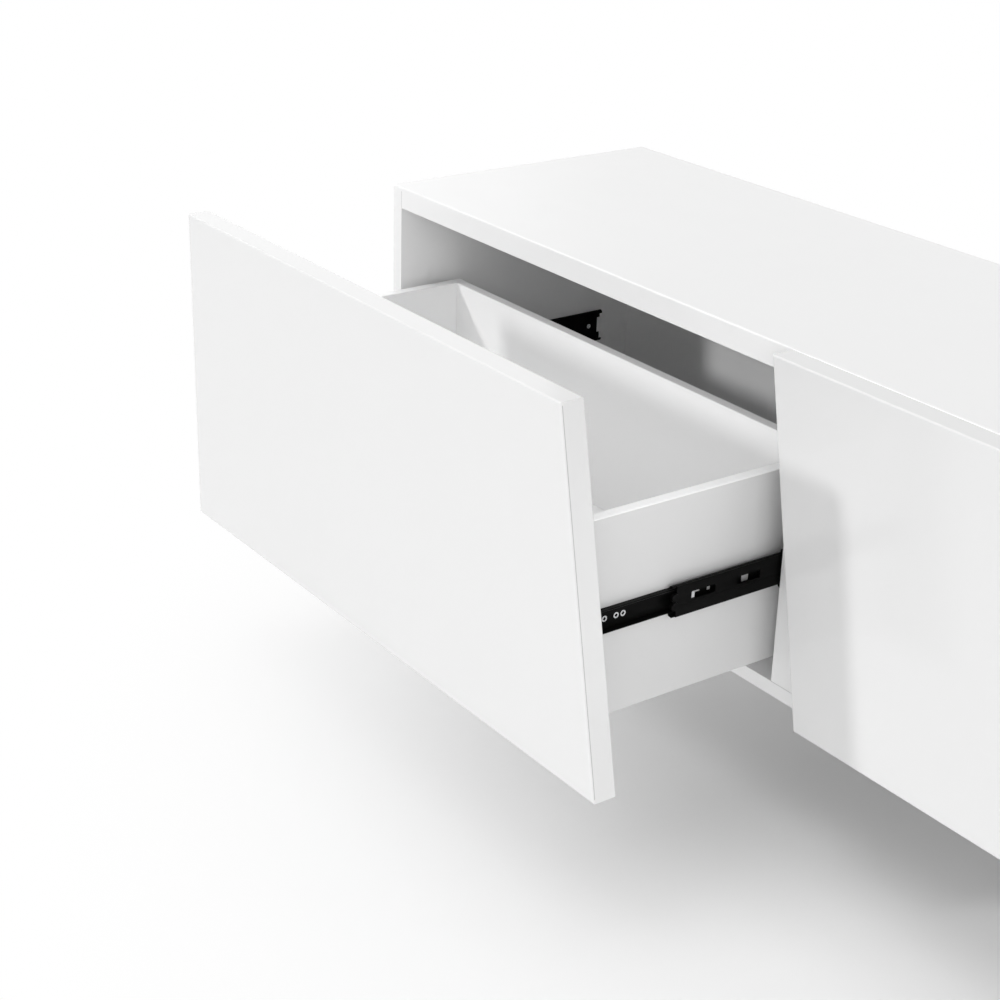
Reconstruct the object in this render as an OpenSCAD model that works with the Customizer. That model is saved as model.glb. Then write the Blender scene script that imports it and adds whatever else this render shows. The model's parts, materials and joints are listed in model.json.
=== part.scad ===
// Low television stand with two drawers on telescopic ball slides and a drop-down flap door.
// The stand is centred on the origin in width and depth and rests on z = 0. Its front faces -Y.
// The left drawer is drawn pulled out by left_open. The centre drawer and the door are drawn closed.

/* [Carcass] */
// Outside width of the carcass and of the row of fronts
carcass_w = 2000; // [1900:10:2200]
// Depth of the carcass without the fronts
carcass_d = 374; // [366:2:420]
// Height of the carcass without the legs
carcass_h = 356; // [340:2:400]
// Thickness of the two outer side panels
side_t = 18; // [16:1:22]
// Thickness of the top panel
top_t = 25; // [19:1:30]
// Thickness of the bottom panel
bottom_t = 16; // [16:1:22]
// Thickness of one partition board
partition_t = 18; // [16:1:19]
// Hollow between the two boards of a double partition
partition_gap = 18; // [14:1:24]
// Thickness of the upright stile that closes the front of a double partition
stile_t = 18; // [12:1:22]
// Thickness of the back panels
back_t = 8; // [5:1:10]
// Distance from the rear edge of the carcass to the back panels
back_setback = 17; // [10:1:20]
// Depth of the grooves that hold the back panels
groove_depth = 8; // [4:1:9]
// Radius of the eased outer arrises
arris_r = 2; // [0.5:0.5:3]

/* [Fronts] */
// Thickness of the drawer fronts and of the door
front_t = 26; // [18:1:28]
// Gap between a closed front and the carcass
front_gap = 3; // [2.6:0.2:4]
// Gap between neighbouring fronts
seam_gap = 3; // [2:0.5:4]
// How far the fronts stand above the top panel
front_rise = 1; // [0:0.5:2]
// Width of an outer front along its top edge
outer_front_w = 677; // [660:1:690]
// How much wider an outer front is along its bottom edge
seam_slant = 71; // [60:1:74]

/* [Drawers] */
// How far the left drawer is pulled out as drawn
left_open = 237; // [10:1:290]
// How far the centre drawer is pulled out as drawn
centre_open = 0; // [0:1:290]
// Height of a drawer box
box_h = 203; // [150:1:205]
// Depth of a drawer box behind its front
box_d = 315; // [306:1:325]
// Height of a drawer box above the bottom panel
box_lift = 18; // [14:1:24]
// Thickness of the drawer sides, back and inner front
box_t = 12; // [10:1:16]
// Thickness of a drawer bottom
box_bottom_t = 6; // [4:1:8]
// Height of the drawer bottom above the lower edge of the box
box_bottom_lift = 12; // [8:1:20]

/* [Telescopic slides] */
// Thickness of a closed slide between the drawer side and the carcass
slide_t = 12.7; // [12.7:0.1:13.5]
// Height of the outer slide member
slide_h = 41; // [40:0.5:46]
// Length of each slide member
slide_len = 300; // [296:1:302]
// Distance of a closed slide behind the front edge of the carcass
slide_setback = 3; // [2:0.5:4]
// Height of the slide's centre line above the bottom panel
slide_lift = 120; // [100:1:124]
// Sheet thickness of the slide members
sheet_t = 1; // [0.8:0.1:1]
// Radius of the bearing balls
ball_r = 1.6; // [1.5:0.05:1.65]
// Running gap between balls and races
run_gap = 0.3; // [0.25:0.05:0.35]
// Share of a drawer's travel that the middle member makes
middle_share = 0.57; // [0.5:0.01:0.6]
// Distance between neighbouring balls in a cage
ball_pitch = 18; // [14:1:24]

/* [Door and latches] */
// Radius of the hinge knuckles
knuckle_r = 3; // [2.5:0.1:3]
// Length of one hinge
hinge_len = 60; // [50:1:70]
// Width of one hinge leaf
leaf_w = 22; // [18:1:24]
// Distance of the stay pins from the hinge axis
stay_r = 150; // [140:1:155]
// Angle of the fixed stay stud, measured back from upright
stay_angle = 45; // [42:1:48]
// Width of a stay arm
arm_w = 15; // [13:1:17]
// Thickness of a stay arm
arm_t = 2; // [1.5:0.1:2.2]
// Radius of the stay pins and studs
stay_pin_r = 3; // [2.5:0.1:3.2]
// How far a push latch's plunger pushes a front open
latch_travel = 12; // [8:1:14]
// Radius of a push latch's plunger
plunger_r = 3.5; // [3:0.1:4]

/* [Legs and outlets] */
// Height of the legs from the floor to the carcass
leg_h = 150; // [110:2:200]
// Radius of a leg tube
leg_r = 19; // [16:1:22]
// Distance from the carcass edges to the centres of the corner legs
leg_inset = 55; // [45:1:80]
// Radius of the clear hole in a cable outlet
outlet_r = 25; // [18:1:28]

/* [Hidden] */

$fn = 48;
eps = 0.01;

// Finishes
lacquer = "white";
board_core = "whitesmoke";
slide_black = [0.06, 0.06, 0.06];
screw_silver = "silver";
stop_black = [0.03, 0.03, 0.03];
leg_grey = "gainsboro";
fitting_grey = "lightgray";
dowel_wood = "burlywood";

// Carcass planes
x_left = -carcass_w / 2;
x_right = carcass_w / 2;
y_front = -carcass_d / 2;
y_rear = carcass_d / 2;
z_bottom = leg_h;
z_floor = z_bottom + bottom_t;
z_top = z_bottom + carcass_h;
z_ceiling = z_top - top_t;
y_back = y_rear - back_setback - back_t;
groove_clear = 0.2;

// Seams between the fronts, given by the left-hand one and mirrored for the other
partition_w = 2 * partition_t + partition_gap;
seam_mid = outer_front_w + (seam_gap + seam_slant) / 2;
partition_x = x_left + seam_mid - partition_w / 2;

// The three bays, from wall to wall
bay_left = [x_left + side_t, partition_x];
bay_centre = [partition_x + partition_w, -partition_x - partition_w];
bay_right = [-partition_x, x_right - side_t];

// The drawers by number: 0 is the left one and 1 the centre one
LEFT = 0;
CENTRE = 1;
drawer_bays = [bay_left, bay_centre];
opened = [left_open, centre_open];

// Middle planes of the four partition boards
partition_mids = [
    partition_x + partition_t / 2,
    partition_x + partition_w - partition_t / 2,
    -partition_x - partition_w + partition_t / 2,
    -partition_x - partition_t / 2
];

// Edges of the three back panels, which meet behind the double partitions
back_play = 1;
back_joints = [
    bay_left[0] - groove_depth,
    partition_x + partition_w / 2,
    -partition_x - partition_w / 2,
    bay_right[1] + groove_depth
];

// Fronts
front_h = carcass_h + front_rise;
front_back_y = y_front - front_gap;
front_face_y = front_back_y - front_t;

// Upper and lower ends of the seams on either side of the centre front
seam_top = x_left + outer_front_w + seam_gap;
seam_low = seam_top + seam_slant;

// Drawer boxes, in the closed position
box_z = z_floor + box_lift;
box_rear_y = front_back_y + box_d;
box_bottom_z = box_z + box_bottom_lift;
box_groove = box_t / 2;
box_groove_clear = 0.2;
box_arris_r = 0.8;
stile_arris_r = 0.5;
z_slide = z_floor + slide_lift;
front_screw = box_t + 12;
front_screw_inset = 60;
front_screw_low = 45;
front_screw_high = 35;

// Slide section: u runs from the drawer side to the carcass, v runs up from the slide's centre line
race_in = ball_r + run_gap;
race_mid = race_in + sheet_t / 2;
race_out = race_in + sheet_t;
outer_ball = [slide_t - race_out, slide_h / 2 - race_out];
inner_ball = [outer_ball[0] - ball_r * 2, outer_ball[1] - race_mid * 2];
cage_t = 0.4;
web_gap = 0.35;
ball_play = 0.2;
finger_half_t = 0.3;
middle_web_u = slide_t - 2 * sheet_t - cage_t - 2 * web_gap;
y_slide = y_front + slide_setback;
outer_cage_start = 87;
outer_cage_len = 126;
inner_cage_start = 73;
inner_cage_len = 150;
cage_low_reach = [3, 2];
inner_spine_u = inner_ball[0] + race_in + 0.1;
inner_spine_t = 0.6;

// Screws
screw_head_r = 3;
screw_head_t = 1.6;
screw_shank_r = 1.8;
short_screw = 9;
screw_fit = 0.02;
socket_r = 1.5;
socket_depth = 1.2;
cross_w = 0.7;
outer_screw_y = [37, 165, 237, 283];
inner_screw_y = [29.5, 43, 51, 264];
adjust_slot_y = [70, 130, 200];
adjust_slot_w = 14;
adjust_slot_r = 2.2;

// Windows through the web of a middle member, and the stop on its front end
window_y = [37, 93, 150, 206, 262];
window_w = 29;
window_h = 8;
window_r = 1;
window_rise = 2;
flute_h = 14;
flute_depth = 0.35;
stop_t = 1.6;
stop_r = 4.2;
stop_mid = 4.4;
stop_y = 2.6;
stop_proud = 0.5;
stop_fit = 0.05;

// Holes through the web of an inner member: middle in y, length, height and rise of each
web_holes = [[139, 7.5, 3, -0.8], [153.5, 4.5, 5, -1.6], [199, 9.5, 7.5, -3.2], [217, 1.2, 6, -3.3]];

// How far a web ends before its rolled edges, and how high the cut-out is in an outer member
web_setback = 4;
web_notch = 10;

// Dowels
dowel_r = 4;
dowel_len = 30;
dowel_fit = 0.05;
dowel_depth = 12;
dowel_inset = 60;
box_dowel_r = 3;
box_dowel_len = 20;
box_dowel_depth = 8;
box_dowel_inset = 35;
end_dowel_y = [y_front + dowel_inset, 0, y_rear - dowel_inset];
partition_dowel_y = [y_front + stile_t + dowel_inset, y_back - dowel_inset];

// Hinges of the drop-down door
pivot_y = y_front - front_gap / 2;
pivot_z = z_bottom - knuckle_r - 0.3;
leaf_t = 1.2;
pin_r = 1.5;
pin_fit = 0.15;
knuckle_play = 0.3;
knuckle_third = hinge_len / 3;
leaf_screw_x = hinge_len / 3;
leaf_screw_in = leaf_w * 0.6;
right_mid_x = (bay_right[0] + bay_right[1]) / 2;
hinge_inset = 90;
hinges = [bay_right[0] + hinge_inset, right_mid_x, bay_right[1] - hinge_inset];

// Slotted stays: pin and stud lie at the same distance from the hinge axis
stay_pin_y = 8;
stay_pin_z = sqrt(stay_r * stay_r - stay_pin_y * stay_pin_y);
stay_lead = asin(stay_pin_y / stay_r);
chord_closed = 2 * stay_r * sin((stay_angle - stay_lead) / 2);
chord_open = 2 * stay_r * sin((stay_angle - stay_lead + 90) / 2);
arm_tilt = -(stay_angle + stay_lead) / 2;
arm_gap = 3;
slot_play = 0.3;
stud_plate_t = 1.6;
stud_plate_r = 7;
stud_screw_z = 12;
stud_y = pivot_y + stay_r * sin(stay_angle);
stud_z = pivot_z + stay_r * cos(stay_angle);
bracket_t = 2;
bracket_w = 15;
bracket_half_h = 13;
bracket_screw_z = 8;
ear_u = arm_gap + arm_t + 1;
ear_r = 7;

// Push latches
latch_w = 14;
latch_h = 13;
latch_len = 70;
latch_bore_gap = 0.3;
latch_tip_gap = 0.2;
latch_setback = 3;
latch_end_wall = 8;
latch_x = [(bay_left[0] + bay_left[1]) / 2, 0, right_mid_x];
latch_z = [z_floor, z_floor, z_ceiling - latch_h];

// Legs
leg_plate_r = leg_r + 16;
leg_screw_r = leg_r + 8;
leg_plate_t = 3;
leg_wall = 1.5;
glide_h = 12;
glide_stem_r = 4;
glide_stem_len = 20;
glide_foot_r = leg_r - 4;
glide_foot_t = 3;
glide_round_r = 5;
nut_h = 8;
nut_play = 0.3;
leg_places = [
    [x_left + leg_inset, y_front + leg_inset],
    [x_right - leg_inset, y_front + leg_inset],
    [x_left + leg_inset, y_rear - leg_inset],
    [x_right - leg_inset, y_rear - leg_inset],
    [0, 0]
];

// Cable outlet behind the flap door
outlet_x = right_mid_x;
outlet_lift = 110;
outlet_z = z_floor + outlet_lift;
ring_t = 2;
ring_lip = 5;
ring_clear = 0.2;

// ---------- general helpers ----------

// Rounded rectangle lying in the first quadrant
module round_rect(w, h, r) {
    translate([r, 0]) square([w - 2 * r, h]);
    translate([0, r]) square([w, h - 2 * r]);
    for (x = [r, w - r], y = [r, h - r])
        translate([x, y]) circle(r);
}

// Block between two corners
module block(lo, hi) {
    translate(lo) cube(hi - lo);
}

// Rounded bar that runs along x, y or z and fills the box between two corners
module bar_x(lo, hi, r) {
    translate(lo) rotate([90, 0, 90])
        linear_extrude(hi[0] - lo[0]) round_rect(hi[1] - lo[1], hi[2] - lo[2], r);
}

module bar_y(lo, hi, r) {
    translate([lo[0], hi[1], lo[2]]) rotate([90, 0, 0])
        linear_extrude(hi[1] - lo[1]) round_rect(hi[0] - lo[0], hi[2] - lo[2], r);
}

module bar_z(lo, hi, r) {
    translate(lo) linear_extrude(hi[2] - lo[2]) round_rect(hi[0] - lo[0], hi[1] - lo[1], r);
}

// Board with all twelve arrises eased
module eased_board(lo, hi, r) {
    intersection() {
        bar_x(lo, hi, r);
        bar_y(lo, hi, r);
        bar_z(lo, hi, r);
    }
}

// Outer form of the carcass, with its arrises eased
module carcass_form() {
    eased_board([x_left, y_front, z_bottom], [x_right, y_rear, z_top], arris_r);
}

// Cylinder between two heights along an axis
module rod_x(x0, x1, r) {
    translate([x0, 0, 0]) rotate([0, 90, 0]) cylinder(r = r, h = x1 - x0);
}

module rod_y(y0, y1, r) {
    translate([0, y1, 0]) rotate([90, 0, 0]) cylinder(r = r, h = y1 - y0);
}

// Countersunk screw along +Z, with the flat top of its head at z = 0 and its shank below
module screw(len) {
    difference() {
        union() {
            translate([0, 0, -screw_head_t])
                cylinder(r1 = screw_shank_r, r2 = screw_head_r, h = screw_head_t);
            translate([0, 0, -len]) cylinder(r = screw_shank_r, h = len - screw_head_t + eps);
        }
        translate([0, 0, -socket_depth]) cylinder(r1 = socket_r / 2, r2 = socket_r, h = socket_depth + eps);
        for (a = [0, 90]) rotate(a)
            translate([-screw_head_r * 0.6, -cross_w / 2, -cross_w])
                cube([screw_head_r * 1.2, cross_w, 1]);
    }
}

// Countersunk hole for that screw, a little deeper than the screw is long
module screw_hole(len) {
    translate([0, 0, -len - 0.5]) cylinder(r = screw_shank_r + screw_fit, h = len + 0.5);
    translate([0, 0, -screw_head_t])
        cylinder(r1 = screw_shank_r + screw_fit, r2 = screw_head_r + screw_fit, h = screw_head_t);
    cylinder(r = screw_head_r + screw_fit, h = 0.2);
}

// ---------- where the small fixings go ----------

// Dowels across the ends of the top and bottom panels
module end_dowels(r, grow = 0) {
    for (s = [-1, 1], z = [z_bottom + bottom_t / 2, z_top - top_t / 2], y = end_dowel_y)
        translate([s * (x_right - side_t) - (s > 0 ? dowel_len - dowel_depth : dowel_depth) - grow, y, z])
            rod_x(0, dowel_len + 2 * grow, r);
}

// Dowels through the ends of the partition boards
module partition_dowels(r, grow = 0) {
    for (x = partition_mids, y = partition_dowel_y, z = [z_floor, z_ceiling])
        translate([x, y, z - (z > z_floor ? dowel_len - dowel_depth : dowel_depth) - grow])
            cylinder(r = r, h = dowel_len + 2 * grow);
}

module dowels(r = dowel_r - dowel_fit, grow = 0) {
    end_dowels(r, grow);
    partition_dowels(r, grow);
}

// Grooves for the back panels, cut into the boards around them
module back_groove() {
    difference() {
        block([bay_left[0] - groove_depth, y_back - groove_clear, z_floor - groove_depth],
              [bay_right[1] + groove_depth, y_back + back_t + groove_clear, z_ceiling + groove_depth]);
        block([bay_left[0], y_back - 1, z_floor],
              [bay_right[1], y_back + back_t + 1, z_ceiling]);
    }
}

// Puts its children at each screw of a leg plate, pointing up into the bottom panel
module at_leg_screws() {
    for (p = leg_places, a = [0 : 90 : 270])
        translate([p[0], p[1], z_bottom - leg_plate_t])
            rotate([180, 0, 45 + a]) translate([leg_screw_r, 0, 0]) children();
}

// Puts its children at each screw of the outer slide members, on the walls of the drawer bays
module at_outer_slide_screws() {
    for (bay = drawer_bays, y = outer_screw_y) {
        translate([bay[0] + sheet_t, y_slide + y, z_slide]) rotate([0, 90, 0]) children();
        translate([bay[1] - sheet_t, y_slide + y, z_slide]) rotate([0, -90, 0]) children();
    }
}

// Puts its children at each screw of the inner slide members, on the sides of drawer d
module at_inner_slide_screws(d) {
    for (y = inner_screw_y) {
        translate([box_left(d) - sheet_t, y_slide + y, z_slide]) rotate([0, -90, 0]) children();
        translate([box_right(d) + sheet_t, y_slide + y, z_slide]) rotate([0, 90, 0]) children();
    }
}

// Puts its children at each screw that holds the front of drawer d to its box
module at_front_screws(d) {
    for (x = [box_left(d) + front_screw_inset, box_right(d) - front_screw_inset],
         z = [box_z + front_screw_low, box_z + box_h - front_screw_high])
        translate([x, front_back_y + box_t, z]) rotate([-90, 0, 0]) children();
}

// Outside faces of the box of drawer d
function box_left(d) = drawer_bays[d][0] + slide_t;
function box_right(d) = drawer_bays[d][1] - slide_t;

// Puts its children at each screw of the fixed hinge leaves, pointing up
module at_fixed_leaf_screws() {
    for (x = hinges, s = [-1, 1])
        translate([x + s * leaf_screw_x, pivot_y + leaf_screw_in, z_bottom - leaf_t])
            rotate([180, 0, 0]) children();
}

// Puts its children at each screw of the stay studs, pointing into the walls
module at_stud_screws() {
    for (i = [0, 1], s = [-1, 1])
        translate([bay_right[i] + (i == 0 ? 1 : -1) * stud_plate_t, stud_y, stud_z + s * stud_screw_z])
            rotate([0, i == 0 ? 90 : -90, 0]) children();
}

module root_screw_holes() {
    at_leg_screws() screw_hole(short_screw);
    at_outer_slide_screws() screw_hole(short_screw);
    at_fixed_leaf_screws() screw_hole(short_screw);
    at_stud_screws() screw_hole(short_screw);
}

// ---------- carcass ----------

module carcass_board(lo, hi) {
    difference() {
        intersection() {
            block(lo, hi);
            carcass_form();
        }
        dowels(dowel_r, 0.5);
        back_groove();
        root_screw_holes();
    }
}

module top_panel() {
    color(lacquer) carcass_board([bay_left[0], y_front, z_ceiling], [bay_right[1], y_rear, z_top]);
}

module bottom_panel() {
    color(lacquer) carcass_board([bay_left[0], y_front, z_bottom], [bay_right[1], y_rear, z_floor]);
}

module side_panel_left() {
    color(lacquer) carcass_board([x_left, y_front, z_bottom], [bay_left[0], y_rear, z_top]);
}

module side_panel_right() {
    color(lacquer) carcass_board([bay_right[1], y_front, z_bottom], [x_right, y_rear, z_top]);
}

// One board of a double partition, from the stile to the back panel
module partition(i) {
    x = partition_mids[i];
    color(board_core) difference() {
        block([x - partition_t / 2, y_front + stile_t, z_floor], [x + partition_t / 2, y_back, z_ceiling]);
        dowels(dowel_r, 0.5);
        root_screw_holes();
    }
}

// Upright stile behind a seam, flush with the bottom and top panels
module stile(x) {
    color(lacquer)
        eased_board([x, y_front, z_floor], [x + partition_w, y_front + stile_t, z_ceiling], stile_arris_r);
}

// Back panel between two joints, let into the grooves around the carcass
module back_panel(x0, x1) {
    color(board_core) difference() {
        block([x0 + back_play / 2, y_back, z_floor - groove_depth + back_play],
              [x1 - back_play / 2, y_back + back_t, z_ceiling + groove_depth - back_play]);
        translate([outlet_x, 0, outlet_z])
            rod_y(y_back - 1, y_back + back_t + 1, outlet_r + ring_t + ring_clear);
    }
}

// Ring that lines the hole for cables, with a lip inside the bay
module cable_outlet_ring() {
    color(lacquer) translate([outlet_x, y_back - ring_t, outlet_z]) rotate([-90, 0, 0]) difference() {
        union() {
            cylinder(r = outlet_r + ring_t, h = ring_t + back_t);
            cylinder(r1 = outlet_r + ring_lip - 1, r2 = outlet_r + ring_lip, h = ring_t);
        }
        translate([0, 0, -1]) cylinder(r = outlet_r, h = ring_t + back_t + 2);
    }
}

// Steel tube leg with a round top plate and a threaded plug at its foot
module leg(i) {
    p = leg_places[i];
    color(leg_grey) translate([p[0], p[1], 0]) difference() {
        rotate_extrude() {
            translate([leg_r - leg_wall, glide_h]) square([leg_wall, leg_h - glide_h - leg_plate_t]);
            translate([0, leg_h - leg_plate_t]) square([leg_plate_r, leg_plate_t]);
            translate([glide_stem_r + nut_play, glide_h + 1])
                square([leg_r - glide_stem_r - nut_play - leg_wall / 2, nut_h]);
        }
        for (a = [0 : 90 : 270])
            rotate(45 + a) translate([leg_screw_r, 0, leg_h - leg_plate_t])
                rotate([180, 0, 0]) screw_hole(short_screw);
    }
}

// Levelling glide: threaded stem and a low domed foot
module leg_glides() {
    color(stop_black) for (p = leg_places) translate([p[0], p[1], 0]) rotate_extrude() {
        square([glide_foot_r, glide_foot_t]);
        translate([0, glide_foot_t]) square([glide_foot_r - glide_round_r, glide_round_r]);
        intersection() {
            translate([glide_foot_r - glide_round_r, glide_foot_t]) circle(glide_round_r);
            translate([0, glide_foot_t]) square([leg_r, glide_round_r]);
        }
        square([glide_stem_r, glide_h + glide_stem_len]);
    }
}

module carcass_dowels() {
    color(dowel_wood) dowels();
}

module carcass_screws() {
    color(screw_silver) {
        at_leg_screws() screw(short_screw);
        at_outer_slide_screws() screw(short_screw);
        at_fixed_leaf_screws() screw(short_screw);
        at_stud_screws() screw(short_screw);
    }
}

// ---------- telescopic ball slide ----------

// Part of a ring between two angles; c is its centre, and the angles run anticlockwise
module race(c, from, to) {
    reach = race_out * 3;
    angles = [from, (from + to) / 2, to];
    translate(c) intersection() {
        difference() {
            circle(race_out);
            circle(race_in);
        }
        polygon(concat([[0, 0]], [for (a = angles) reach * [cos(a), sin(a)]]));
    }
}

// Outer member: a channel whose rolled edges hold the outer balls against the middle member
module outer_section() {
    translate([slide_t - sheet_t, -outer_ball[1]]) square([sheet_t, 2 * outer_ball[1]]);
    for (m = [0, 1]) mirror([0, m]) {
        race(outer_ball, -2, 92);
        race(outer_ball, 88, 180);
        translate([outer_ball[0] - race_out, outer_ball[1] - 1]) square([sheet_t, 1 + eps]);
    }
}

// Middle member: its rolled edge carries the outer balls on top and the inner balls below
module middle_section() {
    crest = outer_ball[1] - race_mid - sheet_t / 2;
    translate([middle_web_u, -crest - sheet_t / 2]) square([sheet_t, 2 * crest + sheet_t]);
    for (m = [0, 1]) mirror([0, m]) {
        translate([inner_ball[0], crest]) square([middle_web_u + sheet_t - inner_ball[0], sheet_t]);
        race(outer_ball, 235, 290);
        race(inner_ball, 88, 180);
        translate([inner_ball[0] - race_out, inner_ball[1] - 1]) square([sheet_t, 1 + eps]);
    }
}

// Inner member: a shallow channel on the drawer side, with a race under the inner balls
module inner_section() {
    shelf = inner_ball[1] - race_mid - sheet_t / 2;
    translate([0, -shelf - sheet_t]) square([sheet_t, 2 * (shelf + sheet_t)]);
    for (m = [0, 1]) mirror([0, m]) {
        translate([0, shelf]) square([inner_ball[0], sheet_t]);
        race(inner_ball, 232, 300);
    }
}

// Puts a shape, drawn in (u, y, v) from the slide's front end at y0, on both sides of drawer d
module both_sides(d, y0) {
    translate([box_left(d), y0, z_slide]) mirror([1, 0, 0]) children();
    translate([box_right(d), y0, z_slide]) children();
}

// Slide member with the section that is drawn in (u, v)
module member() {
    translate([0, slide_len, 0]) rotate([90, 0, 0]) linear_extrude(slide_len) children();
}

// Where the front ends of the moving members and of the ball cages of drawer d are
function middle_y(d) = y_slide - opened[d] * middle_share;
function inner_y(d) = y_slide - opened[d];
function outer_cage_y(d) = y_slide + outer_cage_start - opened[d] * middle_share / 2;
function inner_cage_y(d) = y_slide + inner_cage_start - opened[d] * (1 + middle_share) / 2;

module outer_slides(d) {
    color(slide_black) difference() {
        both_sides(d, y_slide) member() outer_section();
        at_outer_slide_screws() screw_hole(short_screw);
        // Long slots for adjusting the slide, and the notch in the rear end of its web
        both_sides(d, y_slide) {
            for (y = adjust_slot_y)
                slot_cut(slide_t - sheet_t, y, adjust_slot_w, adjust_slot_r);
            block([slide_t - sheet_t - 1, slide_len - web_setback, -web_notch],
                  [slide_t + 1, slide_len + 1, web_notch]);
        }
    }
}

// Slot through a slide web: u is where the web starts, y its middle, w its length and r its half height
module slot_cut(u, y, w, r) {
    for (s = [-1, 1])
        translate([0, y + s * (w / 2 - r), 0]) rod_x(u - 1, u + sheet_t + 1, r);
    block([u - 1, y - w / 2 + r, -r], [u + sheet_t + 1, y + w / 2 - r, r]);
}

module middle_slides(d) {
    back = middle_web_u + sheet_t;
    color(slide_black) both_sides(d, middle_y(d)) difference() {
        member() middle_section();
        for (y = window_y)
            bar_x([middle_web_u - 1, y - window_w / 2, window_rise - window_h / 2],
                  [back + 1, y + window_w / 2, window_rise + window_h / 2], window_r);
        // Shallow flute along the back of the web
        block([back - flute_depth, -1, window_rise - flute_h / 2],
              [back + 1, slide_len + 1, window_rise + flute_h / 2]);
        // The web ends a little behind the rolled edges, and has two bites for the stop
        block([middle_web_u - eps, -1, -slide_h / 2], [back + 1, web_setback, slide_h / 2]);
        stop_lobes(middle_web_u - 1, back + 1, stop_r + stop_fit);
    }
}

// The two round buffers of a stop between two depths
module stop_lobes(u0, u1, r) {
    for (v = [-stop_mid, stop_mid])
        translate([0, stop_y, v]) rod_x(u0, u1, r);
}

module inner_slides(d) {
    color(slide_black) difference() {
        both_sides(d, inner_y(d)) member() inner_section();
        translate([0, -opened[d], 0]) at_inner_slide_screws(d) screw_hole(short_screw);
        both_sides(d, inner_y(d)) for (hole = web_holes)
            translate([-1, hole[0] - hole[1] / 2, hole[3] - hole[2] / 2])
                cube([sheet_t + 2, hole[1], hole[2]]);
    }
}

// Plastic stops on the front ends of the middle members: two round buffers, one above the other
module slide_stops(d) {
    color(stop_black) both_sides(d, middle_y(d)) {
        stop_lobes(middle_web_u - stop_t, middle_web_u + sheet_t + stop_proud, stop_r);
        block([middle_web_u - stop_t, 0, -stop_mid], [middle_web_u, stop_y + stop_r, stop_mid]);
    }
}

// Ball cage: a comb with a finger between neighbouring balls along its upper and lower edge.
// c is the centre of a ball in (u, v), spine_u where the comb's back is and spine_low how far it
// reaches. Where the back passes the balls it is pocketed for them.
module ball_cage(len, c, spine_u, spine_t, spine_low, pocketed) {
    pocket = 2 * (ball_r + ball_play);
    finger = ball_pitch - pocket;
    count = floor((len - finger) / ball_pitch);
    start = (len - (count * ball_pitch + finger)) / 2;
    tie = 5;
    for (m = [0, 1]) mirror([0, 0, m]) {
        difference() {
            block([spine_u, 0, spine_low], [spine_u + spine_t, len, c[1] + finger_half_t]);
            if (pocketed) for (i = [0 : count - 1])
                translate([spine_u - 1, start + i * ball_pitch + finger, c[1] - pocket / 2])
                    cube([spine_t + 2, pocket, pocket]);
        }
        for (i = [0 : count])
            block([c[0] - ball_r, start + i * ball_pitch, c[1] - finger_half_t],
                  [spine_u + spine_t, start + i * ball_pitch + finger, c[1] + finger_half_t]);
        for (i = [0 : count - 1])
            translate([c[0], start + i * ball_pitch + finger + pocket / 2, c[1]])
                sphere(ball_r, $fn = 24);
    }
    for (y = [0, len - tie])
        block([spine_u, y, -spine_low - eps], [spine_u + spine_t, y + tie, spine_low + eps]);
}

module outer_cages(d) {
    color(screw_silver) both_sides(d, outer_cage_y(d))
        ball_cage(outer_cage_len, outer_ball, slide_t - sheet_t - web_gap - cage_t, cage_t,
                  outer_ball[1] - cage_low_reach[0], true);
}

module inner_cages(d) {
    color(screw_silver) both_sides(d, inner_cage_y(d))
        ball_cage(inner_cage_len, inner_ball, inner_spine_u, inner_spine_t,
                  inner_ball[1] - cage_low_reach[1], false);
}

// ---------- drawers ----------

// Front whose left and right edges may slant. x0, x1 are its ends at the top, b0, b1 at the bottom.
module slanted_front(x0, x1, b0, b1) {
    far = 40;
    intersection() {
        bar_x([min(x0, b0) - far, front_face_y, z_bottom],
              [max(x1, b1) + far, front_back_y, z_bottom + front_h], arris_r);
        edge_bar(b0, x0, 0);
        edge_bar(b1, x1, 1);
    }
}

// Half of a front: everything on one side of an edge that runs from x = b below to x = t above
module edge_bar(b, t, side) {
    lean = atan2(t - b, front_h);
    width = carcass_w;
    translate([b, 0, z_bottom]) rotate([0, lean, 0])
        bar_z([side == 0 ? 0 : -width, front_face_y, -front_h],
              [side == 0 ? width : 0, front_back_y, 2 * front_h], arris_r);
}

// Moves its children, drawn closed, to where drawer d is drawn
module pulled_out(d) {
    translate([0, -opened[d], 0]) children();
}

// Fronts have blind holes in the back for the screws that come through the box
module left_drawer_front() {
    color(lacquer) pulled_out(LEFT) difference() {
        slanted_front(x_left, seam_top - seam_gap, x_left, seam_low - seam_gap);
        at_front_screws(LEFT) screw_hole(front_screw);
    }
}

module centre_drawer_front() {
    color(lacquer) pulled_out(CENTRE) difference() {
        slanted_front(seam_top, -seam_top, seam_low, -seam_low);
        at_front_screws(CENTRE) screw_hole(front_screw);
    }
}

module drawer_box_front(d) {
    color(lacquer) pulled_out(d) difference() {
        bar_x([box_left(d) + box_t, front_back_y, box_z],
              [box_right(d) - box_t, front_back_y + box_t, box_z + box_h], box_arris_r);
        bottom_groove(d);
        box_dowels(d, box_dowel_r, 0.5);
        at_front_screws(d) screw_hole(front_screw);
    }
}

module drawer_back(d) {
    color(lacquer) pulled_out(d) difference() {
        bar_x([box_left(d) + box_t, box_rear_y - box_t, box_z],
              [box_right(d) - box_t, box_rear_y, box_z + box_h], box_arris_r);
        bottom_groove(d);
        box_dowels(d, box_dowel_r, 0.5);
    }
}

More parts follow.
